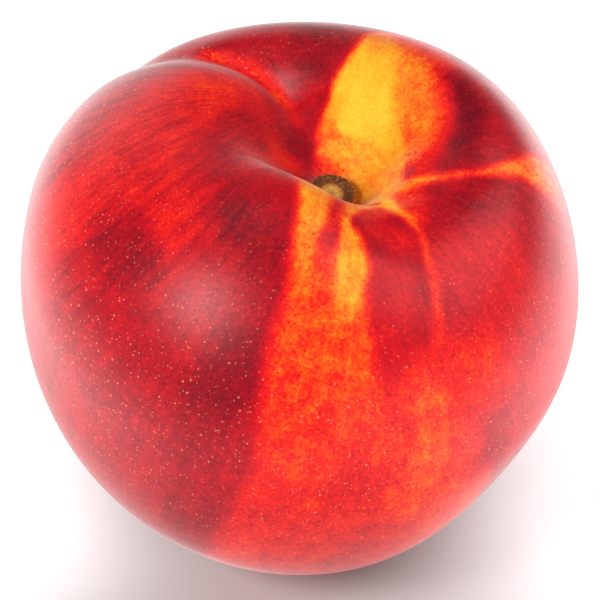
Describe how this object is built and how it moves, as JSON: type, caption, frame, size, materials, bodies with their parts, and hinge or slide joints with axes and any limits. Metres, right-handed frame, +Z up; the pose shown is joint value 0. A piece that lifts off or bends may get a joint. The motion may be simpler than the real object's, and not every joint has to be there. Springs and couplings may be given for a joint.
{
  "type": "nectarine",
  "caption": "Whole ripe nectarine with a stem cavity, a suture groove down one side and a short woody stem stub, resting on a small flat spot.",
  "frame": {"origin": "on the resting plane, under the middle of the fruit's bounding box", "axes": "+Z up from the resting plane; the stem end is on top and leans about 13 degrees towards +X and a little towards -Y; the suture runs towards the back left, between -X and +Y"},
  "size_m": [0.0696, 0.0702, 0.0606],
  "materials": {
    "skin": "satin red, crimson and yellow-orange fruit skin with fine pale dots",
    "stub": "dry brown woody stem remnant"
  },
  "bodies": {
    "root": {"fruit": "skin", "stem_stub": "stub"}
  },
  "joints": []
}
